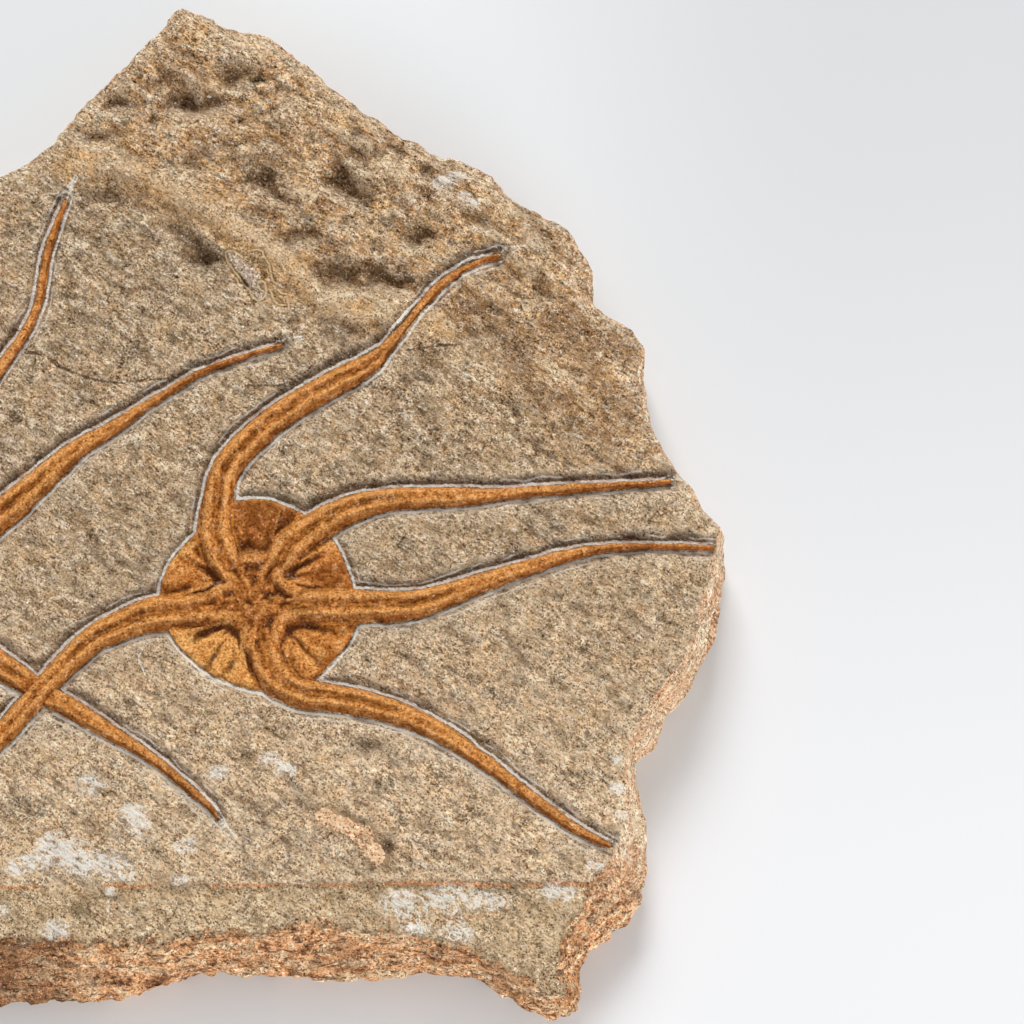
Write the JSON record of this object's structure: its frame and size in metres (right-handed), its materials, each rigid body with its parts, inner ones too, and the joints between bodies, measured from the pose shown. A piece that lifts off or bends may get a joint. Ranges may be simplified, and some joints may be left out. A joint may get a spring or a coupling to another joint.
{
  "type": "fossil brittle star slab",
  "caption": "Irregular slab of fine brown sandstone with fossil brittle stars standing a little proud of its prepared face, for display.",
  "frame": {"origin": "middle of the slab's flat underside, which rests on the surface", "axes": "+Z out of the fossil face, up as the slab lies; +X along its length; +Y towards its pointed end"},
  "size_m": [0.236, 0.207, 0.0214],
  "materials": {
    "sandstone": "matte",
    "fossil": "matte"
  },
  "bodies": {
    "root": {"slab": "sandstone", "star_1_disc": "fossil", "star_1_arm_1": "fossil", "star_1_arm_2": "fossil", "star_1_arm_3": "fossil", "star_1_arm_4": "fossil", "star_1_arm_5": "fossil", "star_2_disc": "fossil", "star_2_arm_1": "fossil", "star_2_arm_2": "fossil", "star_2_arm_3": "fossil", "star_2_arm_4": "fossil", "star_2_arm_5": "fossil"}
  },
  "joints": []
}
